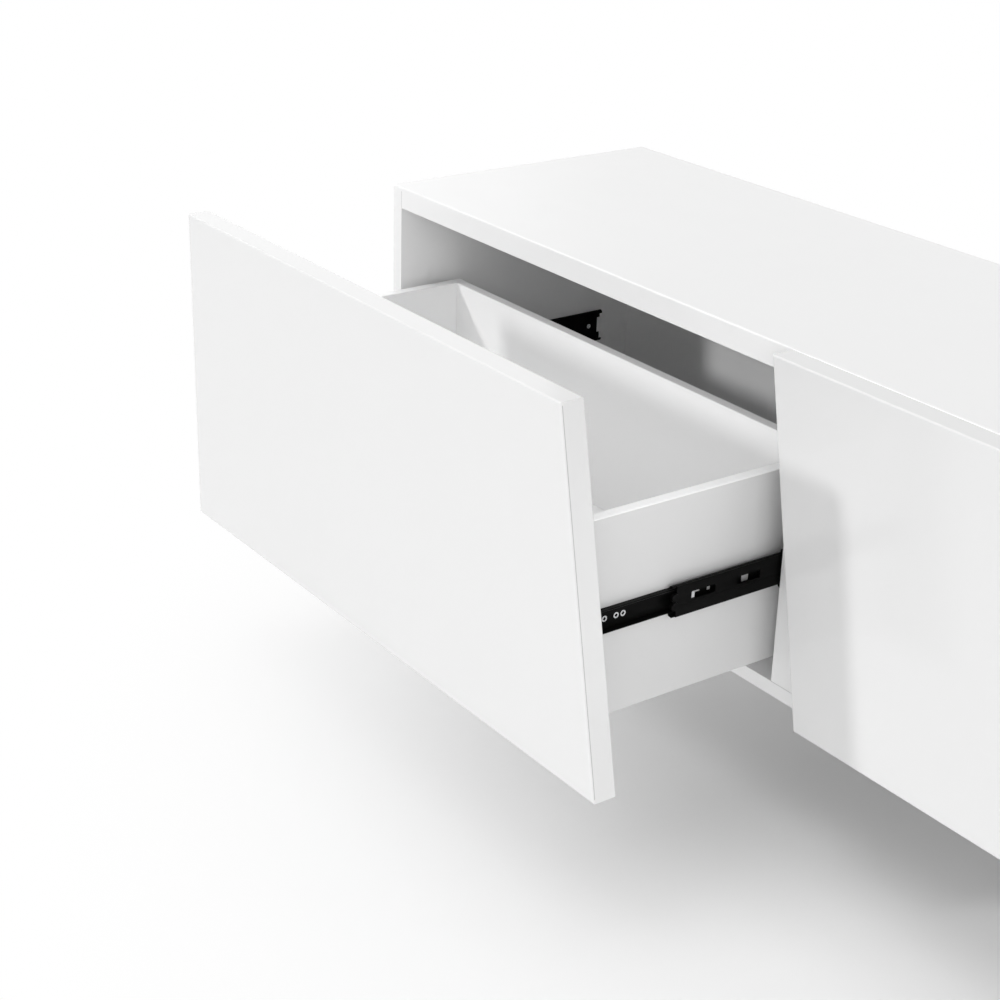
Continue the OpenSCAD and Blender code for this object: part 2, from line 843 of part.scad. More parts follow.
// side is 0 for the left and 1 for the right
module drawer_side(d, side) {
    x0 = side == 0 ? box_left(d) : box_right(d) - box_t;
    color(lacquer) pulled_out(d) difference() {
        bar_y([x0, front_back_y, box_z], [x0 + box_t, box_rear_y, box_z + box_h], box_arris_r);
        bottom_groove(d);
        box_dowels(d, box_dowel_r, 0.5);
        at_inner_slide_screws(d) screw_hole(short_screw);
    }
}

// Dowels from the sides of drawer d into the ends of its back and inner front
module box_dowels(d, r = box_dowel_r - dowel_fit, grow = 0) {
    tails = box_dowel_len - box_dowel_depth;
    for (y = [front_back_y + box_t / 2, box_rear_y - box_t / 2],
         z = [box_z + box_dowel_inset, box_z + box_h - box_dowel_inset]) translate([0, y, z]) {
        rod_x(box_left(d) + box_t - box_dowel_depth - grow, box_left(d) + box_t + tails + grow, r);
        rod_x(box_right(d) - box_t - tails - grow, box_right(d) - box_t + box_dowel_depth + grow, r);
    }
}

// Space that the drawer bottom takes in the boards around it, with its clearance
module bottom_groove(d) {
    grow = box_groove + box_groove_clear;
    block([box_left(d) + box_t - grow, front_back_y + box_t - grow, box_bottom_z - box_groove_clear],
          [box_right(d) - box_t + grow, box_rear_y - box_t + grow,
           box_bottom_z + box_bottom_t + box_groove_clear]);
}

module drawer_bottom(d) {
    color(board_core) pulled_out(d)
        block([box_left(d) + box_t - box_groove, front_back_y + box_t - box_groove, box_bottom_z],
              [box_right(d) - box_t + box_groove, box_rear_y - box_t + box_groove,
               box_bottom_z + box_bottom_t]);
}

// Screws and dowels of drawer d
module drawer_fixings(d) {
    pulled_out(d) {
        color(screw_silver) {
            at_inner_slide_screws(d) screw(short_screw);
            at_front_screws(d) screw(front_screw);
        }
        color(dowel_wood) box_dowels(d);
    }
}

// ---------- drop-down flap door ----------

// Flap door with blind holes in its back for the screws of its hinges and stay brackets
module flap_door() {
    color(lacquer) difference() {
        slanted_front(-seam_top + seam_gap, x_right, -seam_low + seam_gap, x_right);
        at_moving_leaf_screws() screw_hole(short_screw);
        at_bracket_screws() screw_hole(short_screw);
    }
}

module at_moving_leaf_screws() {
    for (x = hinges, s = [-1, 1])
        translate([x + s * leaf_screw_x, front_back_y + leaf_t, z_bottom + leaf_screw_in])
            rotate([-90, 0, 0]) children();
}

module at_bracket_screws() {
    for (i = [0, 1], s = [-1, 1])
        translate([bay_right[i] + (i == 0 ? 1 : -1) * (ear_u + bracket_w / 2 + 1), front_back_y + bracket_t,
                   pivot_z + stay_pin_z + s * bracket_screw_z])
            rotate([-90, 0, 0]) children();
}

// Hinge knuckles between two places along the hinge, bored for the pin
module knuckle(x0, x1) {
    translate([0, pivot_y, pivot_z]) rod_x(x0, x1, knuckle_r);
}

module pin_bore(x) {
    translate([x, pivot_y, pivot_z]) rod_x(-hinge_len, hinge_len, pin_r + pin_fit);
}

// Fixed leaf: two end knuckles and a plate under the bottom panel
module carcass_leaf(x) {
    half = hinge_len / 2;
    third = knuckle_third / 2;
    difference() {
        union() {
            knuckle(x - half, x - third - knuckle_play);
            knuckle(x + third + knuckle_play, x + half);
            block([x - half, pivot_y, z_bottom - leaf_t], [x + half, pivot_y + leaf_w, z_bottom]);
        }
        pin_bore(x);
        block([x - third - knuckle_play, pivot_y - knuckle_r, z_bottom - leaf_t - 1],
              [x + third + knuckle_play, pivot_y + knuckle_r + 0.4, z_bottom + 1]);
        at_fixed_leaf_screws() screw_hole(short_screw);
    }
}

// Moving leaf: the middle knuckle and a plate on the back of the door
module door_leaf(x) {
    half = hinge_len / 2;
    third = knuckle_third / 2;
    difference() {
        union() {
            knuckle(x - third, x + third);
            block([x - half, front_back_y, z_bottom], [x + half, front_back_y + leaf_t, z_bottom + leaf_w]);
            block([x - third, front_back_y, pivot_z], [x + third, front_back_y + leaf_t, z_bottom + 1]);
        }
        pin_bore(x);
    }
}

module hinge_leaves_fixed() {
    color(fitting_grey) for (x = hinges) carcass_leaf(x);
}

// Moving leaves with the screws that hold them to the door
module hinge_leaves_moving() {
    color(fitting_grey) difference() {
        for (x = hinges) door_leaf(x);
        at_moving_leaf_screws() screw_hole(short_screw);
    }
    color(screw_silver) at_moving_leaf_screws() screw(short_screw);
}

module hinge_pins() {
    head = hinge_len / 2 + 0.6;
    color(screw_silver) for (x = hinges)
        translate([x, pivot_y, pivot_z]) {
            rod_x(-head, head, pin_r);
            for (s = [-1, 1]) rod_x(s * head - 0.5, s * head + 0.5, pin_r + 0.6);
        }
}

// Puts its children, drawn with u pointing into the bay, on both walls of the right bay
module both_walls() {
    translate([bay_right[0], 0, 0]) children();
    translate([bay_right[1], 0, 0]) mirror([1, 0, 0]) children();
}

// Angle bracket on the back of the door that carries the stay's pivot pin
module stay_bracket() {
    z = pivot_z + stay_pin_z;
    y = pivot_y + stay_pin_y;
    block([ear_u, front_back_y, z - bracket_half_h],
          [ear_u + bracket_w, front_back_y + bracket_t, z + bracket_half_h]);
    block([ear_u, front_back_y, z - ear_r], [ear_u + bracket_t, y, z + ear_r]);
    translate([0, y, z]) {
        rod_x(ear_u, ear_u + bracket_t, ear_r);
        rod_x(arm_gap - 1, ear_u + eps, stay_pin_r - slot_play);
        rod_x(arm_gap - 1.6, arm_gap - 0.4, stay_pin_r + 1.5);
    }
}

// Both brackets with the screws that hold them to the door
module stay_brackets() {
    color(fitting_grey) difference() {
        both_walls() stay_bracket();
        at_bracket_screws() screw_hole(short_screw);
    }
    color(screw_silver) at_bracket_screws() screw(short_screw);
}

// Stud on the bay wall that runs in the slot of the stay arm
module stay_stud() {
    translate([0, stud_y, stud_z]) {
        block([0, -stud_plate_r, -stud_screw_z], [stud_plate_t, stud_plate_r, stud_screw_z]);
        for (s = [-1, 1]) translate([0, 0, s * stud_screw_z]) rod_x(0, stud_plate_t, stud_plate_r);
        rod_x(0, arm_gap + arm_t + 0.6, stay_pin_r);
        rod_x(arm_gap + arm_t + 0.4, arm_gap + arm_t + 2, stay_pin_r + 2.5);
    }
}

module stay_studs() {
    color(fitting_grey) difference() {
        both_walls() stay_stud();
        at_stud_screws() screw_hole(short_screw);
    }
}

// Slotted arm: it turns on the door's pin, and its slot slides along the stud
module stay_arm() {
    tip = chord_open + stay_pin_r + slot_play;
    slot_r = stay_pin_r + slot_play;
    translate([0, pivot_y + stay_pin_y, pivot_z + stay_pin_z]) rotate([arm_tilt, 0, 0])
        difference() {
            union() {
                translate([arm_gap, 0, 0]) rod_x(0, arm_t, arm_w / 2);
                block([arm_gap, 0, -arm_w / 2], [arm_gap + arm_t, tip, arm_w / 2]);
                translate([arm_gap, tip, 0]) rod_x(0, arm_t, arm_w / 2);
            }
            rod_x(0, arm_gap + arm_t + 1, stay_pin_r);
            for (y = [chord_closed, chord_open])
                translate([0, y, 0]) rod_x(0, arm_gap + arm_t + 1, slot_r);
            block([0, chord_closed, -slot_r], [arm_gap + arm_t + 1, chord_open, slot_r]);
        }
}

module stay_arm_left() {
    color(fitting_grey) translate([bay_right[0], 0, 0]) stay_arm();
}

module stay_arm_right() {
    color(fitting_grey) translate([bay_right[1], 0, 0]) mirror([1, 0, 0]) stay_arm();
}

// ---------- push latches ----------

// Latch housing number i, which opens towards the front
module latch_housing(i) {
    y0 = y_front + latch_setback;
    difference() {
        eased_board([latch_x[i] - latch_w / 2, y0, latch_z[i]],
                    [latch_x[i] + latch_w / 2, y0 + latch_len, latch_z[i] + latch_h], 1);
        translate([latch_x[i], 0, latch_z[i] + latch_h / 2])
            rod_y(y_front, y0 + latch_len - latch_end_wall, plunger_r + latch_bore_gap);
    }
}

module latch_housings() {
    color(lacquer) for (i = [0 : 2]) latch_housing(i);
}

// Plunger number i with a wider soft tip; out is how far it stands proud of its pushed-in place
module latch_plunger(i, out) {
    tip = front_back_y + latch_tip_gap - out;
    color(stop_black) translate([latch_x[i], 0, latch_z[i] + latch_h / 2]) {
        rod_y(tip + 1, tip + latch_len - latch_end_wall - 2, plunger_r);
        rod_y(tip, tip + 2, plunger_r + 0.8);
    }
}

// ---------- the part ----------

top_panel();
bottom_panel();
side_panel_left();
side_panel_right();
partition(0);  // partition_left_bay
partition(1);  // partition_centre_left
partition(2);  // partition_centre_right
partition(3);  // partition_right_bay
stile(partition_x);  // stile_left
stile(-partition_x - partition_w);  // stile_right
back_panel(back_joints[0], back_joints[1]);  // back_panel_left
back_panel(back_joints[1], back_joints[2]);  // back_panel_centre
back_panel(back_joints[2], back_joints[3]);  // back_panel_right
cable_outlet_ring();
leg(0);  // leg_front_left
leg(1);  // leg_front_right
leg(2);  // leg_rear_left
leg(3);  // leg_rear_right
leg(4);  // leg_centre
leg_glides();
carcass_dowels();
carcass_screws();
outer_slides(LEFT);  // left_outer_slides
middle_slides(LEFT);  // left_middle_slides
inner_slides(LEFT);  // left_inner_slides
slide_stops(LEFT);  // left_slide_stops
outer_cages(LEFT);  // left_outer_cages
inner_cages(LEFT);  // left_inner_cages
outer_slides(CENTRE);  // centre_outer_slides
middle_slides(CENTRE);  // centre_middle_slides
inner_slides(CENTRE);  // centre_inner_slides
slide_stops(CENTRE);  // centre_slide_stops
outer_cages(CENTRE);  // centre_outer_cages
inner_cages(CENTRE);  // centre_inner_cages
left_drawer_front();
drawer_box_front(LEFT);  // left_drawer_box_front
drawer_side(LEFT, 0);  // left_drawer_side_left
drawer_side(LEFT, 1);  // left_drawer_side_right
drawer_back(LEFT);  // left_drawer_back
drawer_bottom(LEFT);  // left_drawer_bottom
drawer_fixings(LEFT);  // left_drawer_fixings
centre_drawer_front();
drawer_box_front(CENTRE);  // centre_drawer_box_front
drawer_side(CENTRE, 0);  // centre_drawer_side_left
drawer_side(CENTRE, 1);  // centre_drawer_side_right
drawer_back(CENTRE);  // centre_drawer_back
drawer_bottom(CENTRE);  // centre_drawer_bottom
drawer_fixings(CENTRE);  // centre_drawer_fixings
flap_door();
hinge_leaves_fixed();
hinge_leaves_moving();
hinge_pins();
stay_studs();
stay_brackets();
stay_arm_left();
stay_arm_right();
latch_housings();
latch_plunger(0, latch_travel);  // latch_plunger_left
latch_plunger(1, 0);  // latch_plunger_centre
latch_plunger(2, 0);  // latch_plunger_right
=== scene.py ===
# %% [markdown]
# # Television stand with two drawers and a flap door
# This lesson dresses a finished construction model. The boards, slides, hinges and screws already
# exist at their real size, so nothing is built or moved here. What is left is what a finisher and
# a studio would do: spray the boards, coat the steel, set up a floor and lamps, and choose a view.
# Loading the model first gives every later cell its sizes, so no place is typed in twice.

# %% Load the stand
import bpy
import json
import math
from mathutils import Matrix, Vector


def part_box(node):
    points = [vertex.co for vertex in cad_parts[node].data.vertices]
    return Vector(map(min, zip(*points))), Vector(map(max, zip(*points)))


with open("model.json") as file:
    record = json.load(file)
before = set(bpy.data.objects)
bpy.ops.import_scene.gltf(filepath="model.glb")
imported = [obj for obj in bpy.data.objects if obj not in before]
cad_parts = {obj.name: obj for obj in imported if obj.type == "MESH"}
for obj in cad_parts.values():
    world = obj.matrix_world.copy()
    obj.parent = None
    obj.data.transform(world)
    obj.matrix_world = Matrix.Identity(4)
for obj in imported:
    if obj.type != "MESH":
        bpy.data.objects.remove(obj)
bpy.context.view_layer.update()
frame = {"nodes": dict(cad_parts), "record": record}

# %% [markdown]
# ## The view
# The stand is seen from its right and from above, close enough that the open drawer fills the
# view. A camera can be aimed at a target object, but a target has to be kept in step. Here the
# camera is turned by three plain angles instead: how far round it stands, how far it looks down,
# and a slight lean to one side. The lens is a short telephoto one, which keeps the long edges
# calm.

# %% Place the camera
camera_place = Vector((0.8805, -1.3868, 1.0881))
turned_round = math.radians(54.0)
looking_down = math.radians(23.8)
leaning = math.radians(1.57)

lens = bpy.data.cameras.new("view")
lens.sensor_width = 36
lens.lens = 70.05
lens.clip_end = 60
camera = bpy.data.objects.new("view", lens)
bpy.context.scene.collection.objects.link(camera)
camera.matrix_world = (
    Matrix.Translation(camera_place)
    @ Matrix.Rotation(turned_round, 4, "Z")
    @ Matrix.Rotation(math.radians(90) - looking_down, 4, "X")
    @ Matrix.Rotation(leaning, 4, "Z")
)
bpy.context.scene.camera = camera
print("camera stands at", [round(v, 2) for v in camera_place])

# %% [markdown]
# ## Building materials from nodes
# A finish is a small graph of nodes that ends in one shader. The same few steps come back in every
# finish: coordinates that are fixed to the piece, a noise of some grain size, and a ramp from the
# noise to a colour or to a roughness. They are written once as helpers. The coordinates are the
# object's own, in metres, so a noise scale of 500 gives grain about two millimetres across on
# every piece, whatever its size. A noise spends most of its time between 0.3 and 0.7, so only that
# middle is spread over the range that a finish asks for.

# %% Helpers that start a finish and its noise
def new_finish(name):
    """A material with a principled shader; returns the material, its node tree and the shader."""
    material = bpy.data.materials.new(name)
    material.use_nodes = True
    tree = material.node_tree
    shader = tree.nodes["Principled BSDF"]
    return material, tree, shader


def own_coordinates(tree, stretch=(1, 1, 1)):
    """Coordinates fixed to the piece, stretched along x, y and z."""
    source = tree.nodes.new("ShaderNodeTexCoord")
    mapping = tree.nodes.new("ShaderNodeMapping")
    mapping.inputs["Scale"].default_value = stretch
    tree.links.new(source.outputs["Object"], mapping.inputs["Vector"])
    return mapping.outputs["Vector"]


def grain(tree, scale, detail=2, stretch=(1, 1, 1)):
    """Noise between 0 and 1 whose patches are about 1/scale metres across."""
    noise = tree.nodes.new("ShaderNodeTexNoise")
    noise.inputs["Scale"].default_value = scale
    noise.inputs["Detail"].default_value = detail
    tree.links.new(own_coordinates(tree, stretch), noise.inputs["Vector"])
    return noise.outputs["Fac"]


print("a finish can be started")

# %% Helpers that turn noise into gloss, colour and relief
noise_low, noise_high = 0.3, 0.7


def grey(shade):
    """A colour with nothing but brightness."""
    return (shade, shade, shade)


def spread(tree, value, low, high):
    """Turns the middle of a noise into numbers from low to high."""
    ramp = tree.nodes.new("ShaderNodeMapRange")
    ramp.inputs["From Min"].default_value = noise_low
    ramp.inputs["From Max"].default_value = noise_high
    ramp.inputs["To Min"].default_value = low
    ramp.inputs["To Max"].default_value = high
    tree.links.new(value, ramp.inputs["Value"])
    return ramp.outputs["Result"]


def two_tone(tree, value, colour_a, colour_b):
    """A colour that wanders between two colours as the noise does."""
    ramp = tree.nodes.new("ShaderNodeValToRGB")
    ramp.color_ramp.elements[0].position = noise_low
    ramp.color_ramp.elements[0].color = (*colour_a, 1)
    ramp.color_ramp.elements[1].position = noise_high
    ramp.color_ramp.elements[1].color = (*colour_b, 1)
    tree.links.new(value, ramp.inputs["Fac"])
    return ramp.outputs["Color"]


def relief(tree, shader, value, strength, height):
    """Bump from a noise; height is in metres."""
    bump = tree.nodes.new("ShaderNodeBump")
    bump.inputs["Strength"].default_value = strength
    bump.inputs["Distance"].default_value = height
    tree.links.new(value, bump.inputs["Height"])
    tree.links.new(bump.outputs["Normal"], shader.inputs["Normal"])


def pick(tree, mask, first, second):
    """One of two colours: the first where the mask is 0, the second where it is 1."""
    mix = tree.nodes.new("ShaderNodeMix")
    mix.data_type = "RGBA"
    tree.links.new(mask, mix.inputs["Factor"])
    tree.links.new(first, mix.inputs["A"])
    tree.links.new(second, mix.inputs["B"])
    return mix.outputs["Result"]


print("material helpers are ready")

# %% [markdown]
# ## White lacquer
# The boards are fibreboard with a sprayed white lacquer. It could be a plain white shader, but
# real lacquer dries with a faint orange peel, and its film and its shade drift a little across a
# board. So the white wanders by less than a hundredth over hand-sized patches, the gloss drifts
# over smaller ones, and a very low relief with grain of about two millimetres softens the
# reflections. The fronts are rubbed to a high gloss, the carcass and the drawer boxes to a satin.

# %% Helpers for lacquer
white_drift = 0.993
peel_height = 0.0001


def sprayed(name, roughness, peel):
    """A lacquered finish without its colour; roughness is a pair that the gloss drifts between."""
    material, tree, shader = new_finish(name)
    tree.links.new(spread(tree, grain(tree, scale=18), *roughness), shader.inputs["Roughness"])
    relief(tree, shader, grain(tree, scale=480, detail=1), peel, peel_height)
    return material, tree, shader


def drifting_white(tree, shade):
    """White of one shade that drifts by less than a hundredth over hand-sized patches."""
    return two_tone(tree, grain(tree, scale=5, detail=3), grey(white_drift * shade), grey(shade))


print("lacquer helpers are ready")

# %% [markdown]
# ## Telling places apart in one finish
# A board here is not the same white all over. The inner faces, the front edges of the carcass and
# the top edges of the drawer boxes are painted a brighter white, which is painted light, the top
# edges of the fronts a less bright one, which is painted shade, and a joint shows as a hairline.
# Each of these could be a piece of its own, but then the boards would be cut up. One finish can
# tell them apart instead: a test by place gives 1 inside a box of space and 0 outside it, and
# picks the shade from that. The boxes are read from the pieces around them. The test uses the
# piece's own coordinates, so it moves with the drawer.

# %% Helpers for arithmetic with nodes
def vector_step(tree, operation, *values):
    """One step of vector arithmetic on links or plain triples."""
    node = tree.nodes.new("ShaderNodeVectorMath")
    node.operation = operation
    for socket, value in zip(node.inputs, values):
        if isinstance(value, tuple):
            socket.default_value = value
        else:
            tree.links.new(value, socket)
    return node.outputs["Value" if operation == "LENGTH" else "Vector"]


def number_step(tree, operation, *values):
    """One step of arithmetic on links or plain numbers."""
    node = tree.nodes.new("ShaderNodeMath")
    node.operation = operation
    for socket, value in zip(node.inputs, values):
        if isinstance(value, (int, float)):
            socket.default_value = value
        else:
            tree.links.new(value, socket)
    return node.outputs["Value"]


print("nodes can now do arithmetic")

# %% Helpers that test a place
def inside(tree, low, high, mirrored=False):
    """1 in the box of space from low to high, 0 elsewhere; mirrored drops the signs of a place."""
    place = tree.nodes.new("ShaderNodeTexCoord").outputs["Object"]
    if mirrored:
        place = vector_step(tree, "ABSOLUTE", place)
    middle = tuple((a + b) / 2 for a, b in zip(low, high))
    reach = tuple((b - a) / 2 for a, b in zip(low, high))
    away = vector_step(tree, "ABSOLUTE", vector_step(tree, "SUBTRACT", place, middle))
    split = tree.nodes.new("ShaderNodeSeparateXYZ")
    tree.links.new(vector_step(tree, "SUBTRACT", reach, away), split.inputs["Vector"])
    least = number_step(tree, "MINIMUM", split.outputs["X"], split.outputs["Y"])
    least = number_step(tree, "MINIMUM", least, split.outputs["Z"])
    return number_step(tree, "GREATER_THAN", least, 0)


def white_by_place(tree, shade, places):
    """White of one shade, with another shade in each listed place: low, high, shade, mirrored."""
    colour = drifting_white(tree, shade)
    for low, high, other_shade, mirrored in places:
        other = drifting_white(tree, other_shade)
        colour = pick(tree, inside(tree, low, high, mirrored), colour, other)
    return colour


print("a place can now be told from its surroundings")

# %% [markdown]
# ## Satin carcass
# The carcass is satin lacquer outside. Its inner faces are painted a brighter white: painted light
# that stands in for light reaching into the drawer bay. Its front edges are painted brighter than
# the top: painted light where the open drawer front keeps light off them. Two joints show: the
# seam between top and side on the front edge, which stops short of the rounded shoulder where
# filler covers it, and the seam between the bottom and the stile at the drawer bay. Both are
# symmetric, so one box of space with its mirror image does for left and right, and its corners are
# given without signs. Each box is a hair larger than the room that it stands for, so that a face
# on its very border falls inside.

# %% Choose margins and shades for the satin boards
hair = 0.0002  # what a box is grown by, so that it takes in a face on its border
line = 0.0004  # half the width of a seam
skin = 0.001  # how deep the brighter white painted on an edge goes
filled = 0.005  # how far down the filler covers the seam at the shoulder
wide = 2.0  # past every end of the stand
# the inner faces and the front edges get brighter whites: painted light, not a different coat
carcass_shade, inside_painted_light_shade, edge_painted_light_shade, joint_shade = 0.72, 0.95, 0.87, 0.55


def satin_board(name, shade, places):
    """Satin lacquer whose white changes by place."""
    material, tree, shader = sprayed(name, roughness=(0.29, 0.34), peel=0.012)
    tree.links.new(white_by_place(tree, shade, places), shader.inputs["Base Color"])
    return material


print("a seam is drawn", 2 * line, "metres wide")

# %% Make the carcass finish
left_board, right_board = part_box("side_panel_left"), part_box("side_panel_right")
bottom_board, top_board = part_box("bottom_panel"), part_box("top_panel")
stile_low, stile_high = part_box("stile_right")
front_plane = bottom_board[0][1]
# painted light: the inner faces of the carcass are given a brighter white
painted_light_in_carcass = (
    (left_board[1][0] - hair, front_plane + skin, bottom_board[1][2] - hair),
    (right_board[0][0] + hair, bottom_board[1][1] - skin, top_board[0][2] + hair),
    inside_painted_light_shade, False,
)
# painted light: the front edges are given a brighter white than the top
painted_light_on_front_edges = ((-wide, front_plane - line, 0), (wide, front_plane + skin, wide), edge_painted_light_shade, False)
side_joint, shoulder = right_board[0][0], top_board[1][2] - filled
side_to_top = (
    (side_joint - line, -front_plane - line, top_board[0][2]),
    (side_joint + line, -front_plane + line, shoulder),
    joint_shade, True,
)
stile_to_bottom = (
    (stile_low[0], -front_plane - line, stile_low[2] - line),
    (stile_high[0], -front_plane + line, stile_low[2] + line),
    joint_shade, True,
)
carcass_places = [painted_light_in_carcass, painted_light_on_front_edges, side_to_top, stile_to_bottom]
carcass_finish = satin_board("carcass_finish", carcass_shade, carcass_places)
print("carcass finish made, with", len(carcass_places), "places of its own")

# %% [markdown]
# ## Drawer boxes
# A drawer box is four thin boards. Their outer faces are painted a less bright white than the
# carcass: painted shade that holds them down under the lamp from the right. Inside, and along the
# top edges, they are painted a brighter white: painted light that makes up for the shade that the
# carcass and the front cast into the drawer. The two drawers stand at different places, so each
# gets a finish whose boxes of space are read from its own boards.

# %% Make the drawer box finishes
# painted shade on the outer faces, painted light on the top edges
box_painted_shade, rim_painted_light_shade = 0.68, 0.89
box_finish = {}
for drawer in ("left_drawer", "centre_drawer"):
    side_a, side_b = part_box(drawer + "_side_left"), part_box(drawer + "_side_right")
    face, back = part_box(drawer + "_box_front"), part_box(drawer + "_back")
    rim = side_a[1][2] - skin
    # painted light: the inner faces of the box are given a brighter white
    painted_light_in_box = (
        (side_a[1][0] - hair, face[1][1] - hair, side_a[0][2]),
        (side_b[0][0] + hair, back[0][1] + hair, rim),
        inside_painted_light_shade, False,
    )
    # painted light: the top edges of the box are given a brighter white
    painted_light_on_rims = ((-wide, -wide, rim), (wide, wide, wide), rim_painted_light_shade, False)
    box_finish[drawer] = satin_board(drawer + "_box_finish", box_painted_shade, [painted_light_in_box, painted_light_on_rims])
print(len(box_finish), "box finishes made")

# %% [markdown]
# ## Glossy fronts
# Each end of a front has a thin dark line beside the arris. It is painted shade, where the rounded
# arris turns away from the lamps, and it is drawn in the finish. A thin slice of space just behind
# the front face touches nothing but the ends, so the same test by place does it. The top edges are
# painted a less bright white, painted shade that keeps them from outshining the faces under the
# lamps from above.

# %% Make the front lacquer
# the front's white, a less bright white painted on the top edges as shade, and a dark line painted
# as shade beside the arrises
front_shade, top_edge_painted_shade, arris_painted_shade = 0.74, 0.67, 0.45
arris_shade_near, arris_shade_far = 0.0016, 0.0024  # how far behind the face the painted dark line starts and ends
above_foot, below_head = 0.004, 0.003  # how far it stops short of the edges

front_places = []
for piece in ("left_drawer_front", "centre_drawer_front"):
    low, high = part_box(piece)
    # painted shade: a thin dark line on each end beside the arris
    arris_shade_low = (-wide, low[1] + arris_shade_near, low[2] + above_foot)
    arris_shade_high = (wide, low[1] + arris_shade_far, high[2] - below_head)
    front_places.append((arris_shade_low, arris_shade_high, arris_painted_shade, False))
# painted shade: the top edges are given a less bright white
front_places.append(((-wide, -wide, high[2] - hair), (wide, wide, wide), top_edge_painted_shade, False))
front_lacquer, tree, shader = sprayed("front_lacquer", roughness=(0.09, 0.12), peel=0.01)
tree.links.new(white_by_place(tree, front_shade, front_places), shader.inputs["Base Color"])
print("front lacquer made, with", len(front_places), "places of its own")

# %% [markdown]
# ## Coated thin board
# Back panels and drawer bottoms are thin fibreboard with a printed white coat. The coat is matter
# than lacquer and shows a fine, even stipple, which a denser noise gives.

# %% Make the coated board
thin_board, tree, shader = new_finish("coated_thin_board")
patches = grain(tree, scale=9, detail=4)
tree.links.new(two_tone(tree, patches, grey(0.925), grey(0.935)), shader.inputs["Base Color"])
tree.links.new(spread(tree, grain(tree, scale=30), 0.29, 0.36), shader.inputs["Roughness"])
relief(tree, shader, grain(tree, scale=1400), strength=0.08, height=0.00005)
print("coated board made")

# %% [markdown]
# ## Black-coated slide steel
# The slides are rolled from steel strip and coated black. The coat is satin: it keeps a soft line
# of light along each rolled edge. A little variation in gloss along the length stands for the
# rolling, so the noise is stretched along y, the way the strip ran through the rollers.

# %% Make the slide steel
fine_height = 0.00003
slide_steel, tree, shader = new_finish("black_slide_steel")
rolled_coat = grain(tree, scale=60, detail=3, stretch=(1, 0.1, 1))
rolled_gloss = grain(tree, scale=400, stretch=(1, 0.06, 1))
tree.links.new(two_tone(tree, rolled_coat, grey(0.002), grey(0.005)), shader.inputs["Base Color"])
tree.links.new(spread(tree, rolled_gloss, 0.30, 0.42), shader.inputs["Roughness"])
shader.inputs["Specular IOR Level"].default_value = 0.05
relief(tree, shader, grain(tree, scale=2500, detail=1), strength=0.05, height=fine_height)
print("slide steel made")

# %% [markdown]
# ## Bright steel, nickel and brushed tube
# Screws, balls and pins are bright zinc plate, hinges and stays are duller nickel plate, and the
# legs are brushed tube. All three are metals, so the shader's metallic is full and the colour is
# the colour of the reflection. They differ in gloss and in the direction of their grain.

# %% Make the metals
def bare_metal(name, colour_a, colour_b, roughness, scale, stretch=(1, 1, 1), strength=0.05):
    """Plated or brushed metal with grain of about 1/scale metres, stretched along x, y and z."""
    material, tree, shader = new_finish(name)
    shader.inputs["Metallic"].default_value = 1
    marks = grain(tree, scale, 3, stretch)
    tree.links.new(two_tone(tree, marks, colour_a, colour_b), shader.inputs["Base Color"])
    tree.links.new(spread(tree, marks, *roughness), shader.inputs["Roughness"])
    relief(tree, shader, marks, strength, fine_height)
    return material


zinc_plate = bare_metal(
    "bright_zinc", (0.66, 0.67, 0.69), (0.78, 0.79, 0.80), roughness=(0.16, 0.25), scale=900
)
nickel_plate = bare_metal(
    "nickel_plate", (0.56, 0.56, 0.55), (0.66, 0.66, 0.64), roughness=(0.29, 0.38), scale=260
)
brushed_tube = bare_metal(
    "brushed_tube", (0.50, 0.50, 0.51), (0.64, 0.64, 0.65), roughness=(0.30, 0.42),
    scale=1500, stretch=(1, 1, 0.02), strength=0.12,
)
print("three metals made")

# %% [markdown]
# ## Screw heads
# A screw head catches the light as a bright ring, because its cross-shaped recess swallows what
# falls into it. The recess is there in the model, but a shallow one still shines in bright plate.
# So whatever lies deeper than a tenth of a millimetre below the heads on either side of the box is
# painted near black, again by place: painted shade in the recesses.

# %% Make the screw finishes
sunk, deep = 0.0001, 0.003  # where the dark starts below a head's face, and where it ends
screw_finish = {}
for drawer in ("left_drawer", "centre_drawer"):
    low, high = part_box(drawer + "_fixings")
    screw_finish[drawer] = zinc_plate.copy()
    screw_finish[drawer].name = drawer + "_screws"
    tree = screw_finish[drawer].node_tree
    shader = tree.nodes["Principled BSDF"]
    colour = shader.inputs["Base Color"].links[0].from_socket
    for start, end in ((low[0] + sunk, low[0] + deep), (high[0] - deep, high[0] - sunk)):
        recess = inside(tree, (start, -wide, 0), (end, wide, wide))
        # painted shade: what lies below a head's face is given a near-black colour
        painted_recess_shade = two_tone(tree, grain(tree, scale=900), grey(0.04), grey(0.07))
        colour = pick(tree, recess, colour, painted_recess_shade)
    tree.links.new(colour, shader.inputs["Base Color"])
print(len(screw_finish), "screw finishes made")

# %% [markdown]
# ## Moulded plastics and beech
# Stops, glides and plungers are moulded in black, latch housings and the cable ring in white.
# Moulded plastic has a spark-eroded texture, so both get a fine relief. The dowels are beech:
# short darker flecks along the grain. Some dowels lie along x and the others stand along z, so one
# noise that is stretched along both does for all.

# %% Make plastics and beech
def moulded(name, shade_a, shade_b, roughness):
    """Moulded plastic with a fine eroded texture."""
    material, tree, shader = new_finish(name)
    clouds = grain(tree, scale=120)
    tree.links.new(two_tone(tree, clouds, shade_a, shade_b), shader.inputs["Base Color"])
    tree.links.new(spread(tree, grain(tree, scale=300), *roughness), shader.inputs["Roughness"])
    relief(tree, shader, grain(tree, scale=3000, detail=1), strength=0.15, height=fine_height)
    return material


